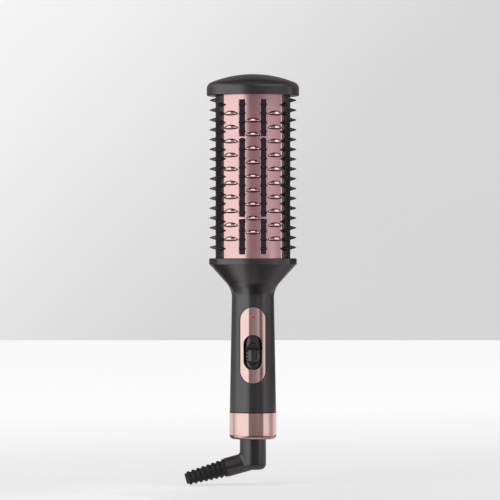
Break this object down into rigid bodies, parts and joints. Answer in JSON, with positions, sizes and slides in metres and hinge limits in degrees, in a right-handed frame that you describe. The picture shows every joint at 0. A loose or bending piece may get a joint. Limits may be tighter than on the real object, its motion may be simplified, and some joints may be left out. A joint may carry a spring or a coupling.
{
  "type": "heated round styling brush",
  "caption": "Corded round hot brush: finned rose-gold heated plates between black bristle combs, domed cool tip, flared handle with slide switch and indicator, swivelling cord elbow.",
  "frame": {"origin": "on the axis of the handle, at the end face of the end ring where the cord swivel comes out", "axes": "+Z along the handle and barrel towards the cap, -Y out of the front with the switch, +X to the right of someone facing the switch"},
  "size_m": [0.0823, 0.0662, 0.2944],
  "materials": {
    "black_satin_plastic": "satin moulded, slightly soft to the touch",
    "rose_gold_plate": "polished rose-gold ceramic-coated aluminium",
    "rose_gold_trim": "polished rose-gold plating",
    "black_comb_plastic": "heat-proof moulded, satin",
    "frame_plastic": "glass-filled, matt",
    "core_aluminium": "extruded",
    "ceramic": "fired ceramic, matt",
    "brass_contact": "bright",
    "insulating_film": "amber film",
    "fuse_metal": "plated can",
    "spring_steel": "spring temper",
    "sensor_metal": "plated lug",
    "lead_insulation": "silicone sleeve",
    "screw_steel": "zinc plated",
    "black_switch_plastic": "satin moulded",
    "switch_can": "tinned can",
    "board_laminate": "solder mask",
    "led_epoxy": "diffuse epoxy",
    "red_lens": "clear red moulded",
    "component_black": "moulded package",
    "component_blue": "sleeved can",
    "bearing_plastic": "acetal, smooth",
    "soft_black_rubber": "matt elastomer"
  },
  "bodies": {
    "handle": {"tip_cap": "black_satin_plastic", "heated_plate_front": "rose_gold_plate", "heated_plate_rear": "rose_gold_plate", "side_comb_right": "black_comb_plastic", "side_comb_left": "black_comb_plastic", "comb_strip_front_left": "black_comb_plastic", "comb_strip_front_right": "black_comb_plastic", "comb_strip_rear_left": "black_comb_plastic", "comb_strip_rear_right": "black_comb_plastic", "barrel_frame": "frame_plastic", "heater_core": "core_aluminium", "ptc_tiles": "ceramic", "electrode_strips": "brass_contact", "heater_insulation": "insulating_film", "thermal_fuse": "fuse_metal", "fuse_clip": "spring_steel", "thermistor": "sensor_metal", "heater_leads": "lead_insulation", "barrel_screws": "screw_steel", "neck_collar": "black_satin_plastic", "handle_front_shell": "black_satin_plastic", "handle_rear_shell": "black_satin_plastic", "shell_screws": "screw_steel", "screw_plugs": "black_satin_plastic", "control_plate": "rose_gold_trim", "slide_switch": "switch_can", "control_board": "board_laminate", "board_screws": "screw_steel", "status_led": "led_epoxy", "led_lens": "red_lens", "triac": "component_black", "capacitor": "component_blue", "supply_leads": "lead_insulation", "contact_block": "frame_plastic", "contact_springs": "brass_contact", "end_ring": "rose_gold_trim", "swivel_bush": "bearing_plastic", "thrust_washer": "bearing_plastic"},
    "switch": {"switch_thumb": "black_switch_plastic", "switch_shutter": "black_switch_plastic"},
    "swivel": {"swivel_elbow": "black_satin_plastic", "strain_relief": "soft_black_rubber", "slip_ring_drum": "frame_plastic", "slip_rings": "brass_contact"}
  },
  "joints": [
    {"name": "switch_slide", "type": "slide", "parent": "handle", "child": "switch", "axis": [0, 0, 1], "range_m": [-0.003, 0.003]},
    {"name": "cord_swivel", "type": "hinge", "parent": "handle", "child": "swivel", "pos_m": [0, 0, 0], "axis": [0, 0, 1], "continuous": true}
  ]
}
